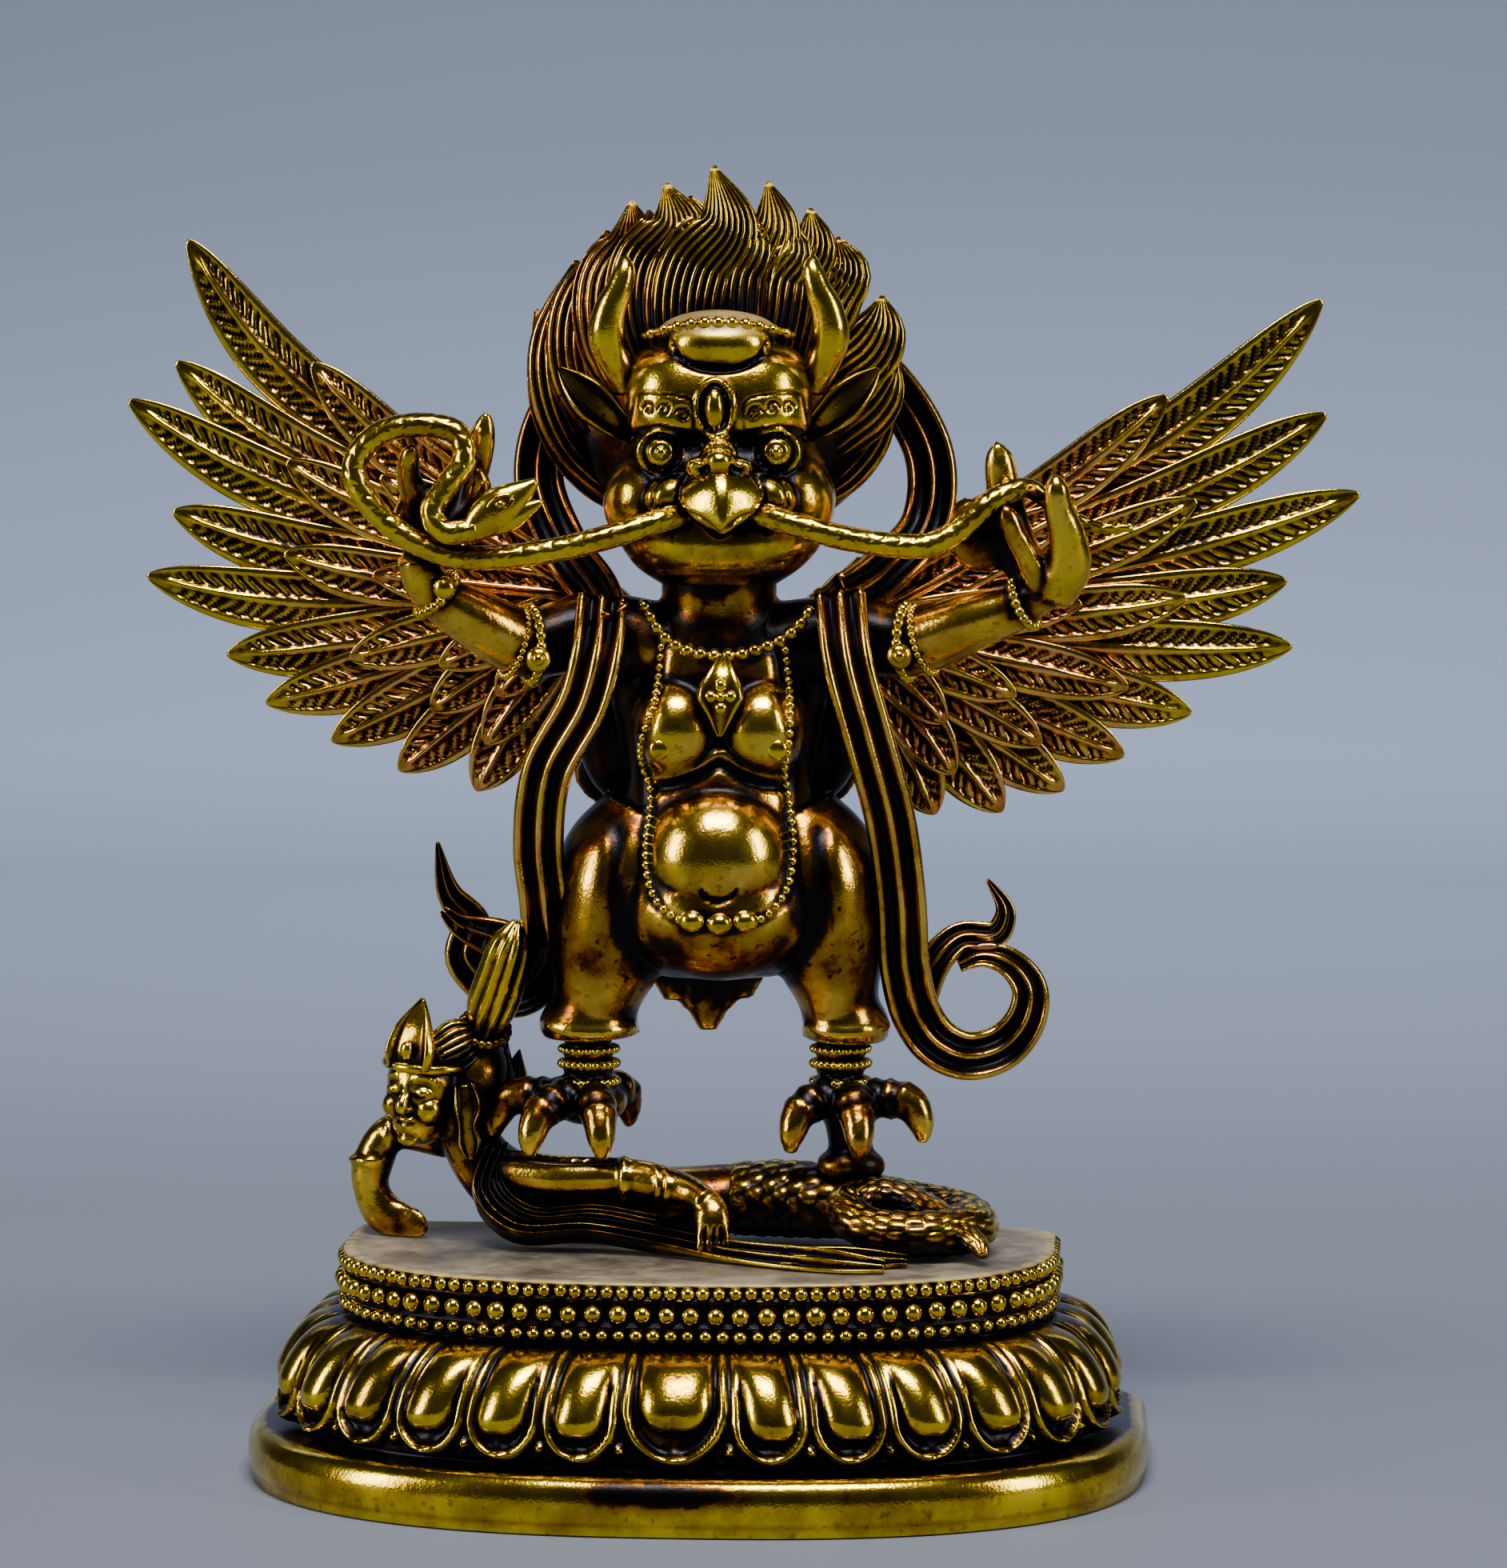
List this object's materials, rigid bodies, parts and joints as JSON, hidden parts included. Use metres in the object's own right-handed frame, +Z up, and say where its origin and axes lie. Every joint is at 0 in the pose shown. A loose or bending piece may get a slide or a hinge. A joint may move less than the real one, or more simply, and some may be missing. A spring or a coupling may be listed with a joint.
{
  "type": "garuda figure",
  "caption": "Cast brass garuda with spread wings, biting a snake and standing on a naga, on a D-shaped lotus plinth.",
  "frame": {"origin": "the middle of the plinth's flat underside, which is the point under the middle of its straight sides", "axes": "+Z up, the figure faces -Y, +X to the viewer's right"},
  "size_m": [0.1625, 0.062, 0.1701],
  "materials": {
    "plinth_brass": "polished cast brass with dark patina in the hollows",
    "naga_brass": "cast brass, half darkened, polished on the high places",
    "garuda_brass": "polished cast brass with dark brown and coppery patina"
  },
  "bodies": {
    "root": {"lotus_plinth": "plinth_brass", "naga_figure": "naga_brass", "garuda_figure": "garuda_brass"}
  },
  "joints": []
}
